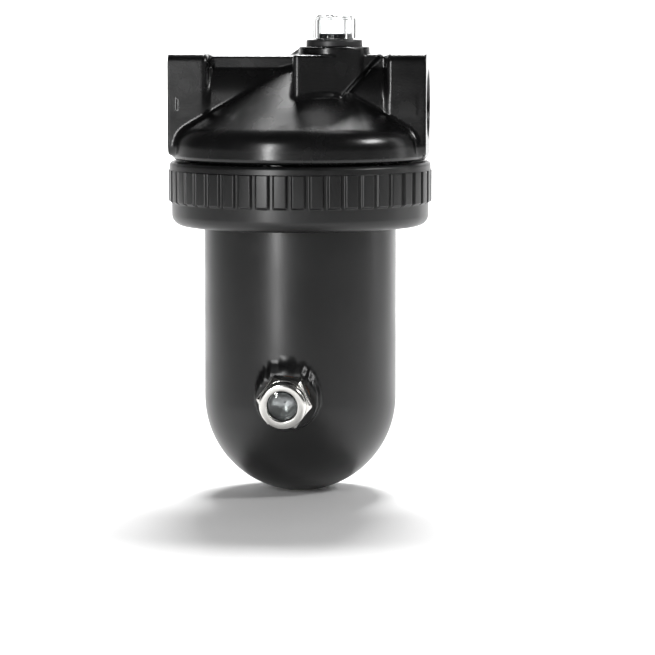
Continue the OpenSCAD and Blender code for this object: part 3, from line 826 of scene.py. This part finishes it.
# The return spring: a round wire along a helix, its ends drawn in to a point.
springLow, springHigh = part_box("indicator_spring")
springShape = {"wire": 0.35 * mm, "turns": 4, "coil": 5.6 * mm, "rows": 360, "columns": 14, "rise": 4.5 * mm}


def returnSpring(c):
    t = np.linspace(0, 1, c["rows"])
    a = 2 * np.pi * c["turns"] * t
    tall = springHigh.z - springLow.z - 2 * c["wire"]
    out = np.stack([np.cos(a), np.sin(a), 0 * a], -1)
    slope = tall / (2 * np.pi * c["turns"])
    along = np.stack([-c["coil"] * np.sin(a), c["coil"] * np.cos(a), 0 * a + slope], -1)
    along /= np.linalg.norm(along, axis=1)[:, None]
    side = np.cross(along, out)
    middle = np.array([axisX + indicatorX, indicatorY, springLow.z + c["wire"]])
    path = middle + c["coil"] * out + (t * tall)[:, None] * np.array([0, 0, 1])
    wire = c["wire"] * np.sqrt(np.clip(np.minimum(t, 1 - t) * 90, 0, 1))
    b = np.linspace(0, 2 * np.pi, c["columns"], endpoint=False)
    ring = np.cos(b)[None, :, None] * out[:, None] + np.sin(b)[None, :, None] * side[:, None]
    points = path[:, None] + wire[:, None, None] * ring
    return tidyMesh(makeMesh("returnSpring", points.reshape(-1, 3), gridFaces(c["rows"], c["columns"])))


spring = returnSpring(springShape)
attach(spring, "head_body")
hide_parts("indicator_spring")
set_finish(spring, "steel")
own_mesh(spring)


# Finishes. Each material is Principled. Two noises, one coarse and one fine, vary its colour and
# roughness and give it relief; sizes are in metres on Object coordinates.
finishes = {
    "cast_black": {"colour": (0.0035, 0.0035, 0.0037), "other": (0.0055, 0.0055, 0.0057),
                   "rough": (0.20, 0.30), "grain": 0.9 * mm, "depth": 0.030 * mm},
    "ring_black": {"colour": (0.004, 0.004, 0.0042), "other": (0.007, 0.007, 0.0072), "rough": (0.30, 0.42),
                   "grain": 0.7 * mm, "depth": 0.022 * mm},
    "bowl_black": {"colour": (0.0035, 0.0035, 0.0037), "other": (0.0055, 0.0055, 0.0057),
                   "rough": (0.28, 0.36), "grain": 0.8 * mm, "depth": 0.016 * mm},
    "rubber": {"colour": (0.018, 0.018, 0.018), "other": (0.030, 0.030, 0.030), "rough": (0.62, 0.78),
               "grain": 0.5 * mm, "depth": 0.02 * mm},
    "acetal": {"colour": (0.70, 0.68, 0.63), "other": (0.76, 0.74, 0.69), "rough": (0.42, 0.52),
               "grain": 0.8 * mm, "depth": 0.01 * mm},
    "dark_plastic": {"colour": (0.016, 0.016, 0.017), "other": (0.024, 0.024, 0.025), "rough": (0.34, 0.46),
                     "grain": 0.35 * mm, "depth": 0.012 * mm},
    "bronze": {"colour": (0.34, 0.21, 0.09), "other": (0.50, 0.33, 0.16), "rough": (0.48, 0.70),
               "grain": 0.45 * mm, "depth": 0.14 * mm, "metal": 1.0},
    "nickel": {"colour": (0.74, 0.73, 0.70), "other": (0.82, 0.81, 0.78), "rough": (0.17, 0.27),
               "grain": 0.25 * mm, "depth": 0.004 * mm, "metal": 1.0},
    "steel": {"colour": (0.52, 0.53, 0.54), "other": (0.62, 0.63, 0.64), "rough": (0.26, 0.38),
              "grain": 0.3 * mm, "depth": 0.006 * mm, "metal": 1.0},
    "copper": {"colour": (0.70, 0.36, 0.20), "other": (0.60, 0.29, 0.15), "rough": (0.28, 0.42),
               "grain": 0.5 * mm, "depth": 0.006 * mm, "metal": 1.0},
    "clear_glass": {"colour": (0.93, 0.96, 0.95), "other": (0.98, 0.99, 0.985), "rough": (0.02, 0.05),
                    "grain": 3 * mm, "depth": 0.004 * mm, "clear": 1.0, "ior": 1.50},
    "clear_plastic": {"colour": (0.95, 0.97, 0.97), "other": (0.98, 0.99, 0.99), "rough": (0.03, 0.08),
                      "grain": 2.5 * mm, "depth": 0.02 * mm, "clear": 1.0, "ior": 1.49},
    "reflector": {"colour": (0.40, 0.41, 0.42), "other": (0.52, 0.53, 0.54), "rough": (0.30, 0.45),
                  "grain": 0.6 * mm, "depth": 0.01 * mm, "metal": 1.0},
    "indicator_red": {"colour": (0.52, 0.020, 0.014), "other": (0.60, 0.028, 0.020), "rough": (0.28, 0.36),
                      "grain": 0.6 * mm, "depth": 0.006 * mm},
}


def finish(name, c):
    material = bpy.data.materials.new(name)
    material.use_nodes = True
    nodes, links = material.node_tree.nodes, material.node_tree.links
    shader = nodes["Principled BSDF"]
    where = nodes.new("ShaderNodeTexCoord").outputs["Object"]

    def noise(size, detail):
        node = nodes.new("ShaderNodeTexNoise")
        node.inputs["Scale"].default_value = 1 / size
        node.inputs["Detail"].default_value = detail
        links.new(where, node.inputs["Vector"])
        return node.outputs["Fac"]

    def spread(value, low, high):
        node = nodes.new("ShaderNodeMapRange")
        node.inputs["From Min"].default_value = 0.3
        node.inputs["From Max"].default_value = 0.7
        node.inputs["To Min"].default_value = low
        node.inputs["To Max"].default_value = high
        links.new(value, node.inputs["Value"])
        return node.outputs["Result"]

    patch, grain = noise(22 * mm, 4), noise(c["grain"], 3)
    mix = nodes.new("ShaderNodeMix")
    mix.data_type = "RGBA"
    mix.inputs["A"].default_value = (*c["colour"], 1)
    mix.inputs["B"].default_value = (*c["other"], 1)
    links.new(spread(patch, 0, 1), mix.inputs["Factor"])
    links.new(mix.outputs["Result"], shader.inputs["Base Color"])
    links.new(spread(patch, *c["rough"]), shader.inputs["Roughness"])
    bump = nodes.new("ShaderNodeBump")
    bump.inputs["Strength"].default_value = 1.0
    bump.inputs["Distance"].default_value = c["depth"]
    links.new(grain, bump.inputs["Height"])
    links.new(bump.outputs["Normal"], shader.inputs["Normal"])
    shader.inputs["Metallic"].default_value = c.get("metal", 0.0)
    shader.inputs["Coat Weight"].default_value = c.get("coat", 0.0)
    shader.inputs["Coat Roughness"].default_value = c.get("coatRough", 0.1)
    shader.inputs["Transmission Weight"].default_value = c.get("clear", 0.0)
    shader.inputs["IOR"].default_value = c.get("ior", 1.5)
    return material


print("finishes")
paints = {name: finish(name, c) for name, c in finishes.items()}
for piece in [o for o in bpy.data.objects if o.type == "MESH" and "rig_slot" in o]:
    piece.data.materials.clear()
    piece.data.materials.append(paints[piece["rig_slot"]])
for row in frame["record"]["subparts"]:
    node = frame["nodes"][row["node"]]
    for slot in node.material_slots:
        slot.material = paints[row["material_slot"]]


# The studio: a pale floor that sweeps up into a wall. Six soft lights: one above, a small one high at the
# right, a tall one in front at the left, a tall faint one at the right, and one each on the wall and the
# floor.
studio = {
    "floor": 0.86,        # the floor's brightness
    "floorRough": 0.9,
    "gap": 0.5 * mm,      # under the bowl
    "reach": 4.0,         # of the floor and the wall
    "behind": 1.3,        # where the sweep starts
    "sweep": 0.9,         # its radius
    "world": 0.03,
}


def sweepFloor(c):
    z = bowlLow.z - c["gap"]
    t = np.linspace(0, np.pi / 2, 24)
    arc = np.stack([c["behind"] + c["sweep"] * np.sin(t), z + c["sweep"] * (1 - np.cos(t))], -1)
    line = np.concatenate([[[-c["reach"], z]], arc, [[c["behind"] + c["sweep"], z + c["reach"]]]])
    sides = np.array([-c["reach"], c["reach"]])
    points = np.stack([np.broadcast_to(sides[None, :], (len(line), 2)),
                       np.repeat(line[:, :1], 2, 1), np.repeat(line[:, 1:], 2, 1)], -1)
    n = np.arange(len(line) - 1)
    faces = np.stack([2 * n, 2 * n + 1, 2 * n + 3, 2 * n + 2], -1)
    floor = makeMesh("floor", points.reshape(-1, 3), faces)
    paint = bpy.data.materials.new("floorPaint")
    paint.use_nodes = True
    shader = paint.node_tree.nodes["Principled BSDF"]
    shader.inputs["Base Color"].default_value = (c["floor"],) * 3 + (1,)
    shader.inputs["Roughness"].default_value = c["floorRough"]
    floor.data.materials.append(paint)


def softLight(c):
    light = bpy.data.lights.new(c["name"], "AREA")
    light.shape = "RECTANGLE"
    light.size, light.size_y = c["size"]
    light.energy = c["power"]
    lamp = bpy.data.objects.new(c["name"], light)
    bpy.context.scene.collection.objects.link(lamp)
    lamp.location = c["place"]
    lamp.rotation_euler = (c["aim"] - c["place"]).to_track_quat("-Z", "Y").to_euler()


print("studio")
sweepFloor(studio)
middle = Vector((axisX, 0, -0.08))
lights = [
    {"name": "domeLight", "place": middle + Vector((0.24, 0.26, 1.2)), "aim": middle,
     "size": (0.55, 0.26), "power": 0.75},
    {"name": "sparkLight", "place": middle + Vector((1.0, -0.22, 0.66)), "aim": middle,
     "size": (0.30, 0.22), "power": 5},
    {"name": "keyLight", "place": middle + Vector((-0.47, -1.12, 0.06)), "aim": middle,
     "size": (0.075, 1.2), "power": 13},
    {"name": "rimLight", "place": middle + Vector((0.95, 0.25, 0.02)), "aim": middle,
     "size": (0.06, 1.3), "power": 1.0},
    {"name": "wallLight", "place": Vector((0.06, 1.35, 1.5)), "aim": Vector((0.06, 2.3, 0.1)),
     "size": (0.7, 0.4), "power": 28},
    {"name": "floorLight", "place": Vector((0.06, 1.45, 1.9)), "aim": Vector((0.06, 0.1, -0.2)),
     "size": (0.9, 0.5), "power": 85},
]
for c in lights:
    softLight(c)
world = bpy.data.worlds.new("studio")
world.use_nodes = True
bpy.context.scene.world = world
world.node_tree.nodes["Background"].inputs["Color"].default_value = (1, 1, 1, 1)
world.node_tree.nodes["Background"].inputs["Strength"].default_value = studio["world"]
bpy.context.scene.view_settings.view_transform = "Standard"

# The camera stands in front, a little to the right and above.
view = {"around": 4.4, "away": 1.7, "height": 0.06, "aside": 0.0136, "aim": -0.1125, "lens": 186.9}
around = math.radians(view["around"])
right = Vector((math.cos(around), math.sin(around), 0))
lensData = bpy.data.cameras.new("camera")
lensData.lens = view["lens"]
lensData.sensor_width = 36
lensData.clip_start = 0.05
lensData.clip_end = 60
camera = bpy.data.objects.new("camera", lensData)
bpy.context.scene.collection.objects.link(camera)
stand = Vector((axisX, 0, 0)) + right * view["aside"]
back = Vector((math.sin(around), -math.cos(around), 0)) * view["away"]
camera.location = stand + back + Vector((0, 0, view["height"]))
aim = stand + Vector((0, 0, view["aim"]))
camera.rotation_euler = (aim - camera.location).to_track_quat("-Z", "Y").to_euler()
bpy.context.scene.camera = camera

print("done")
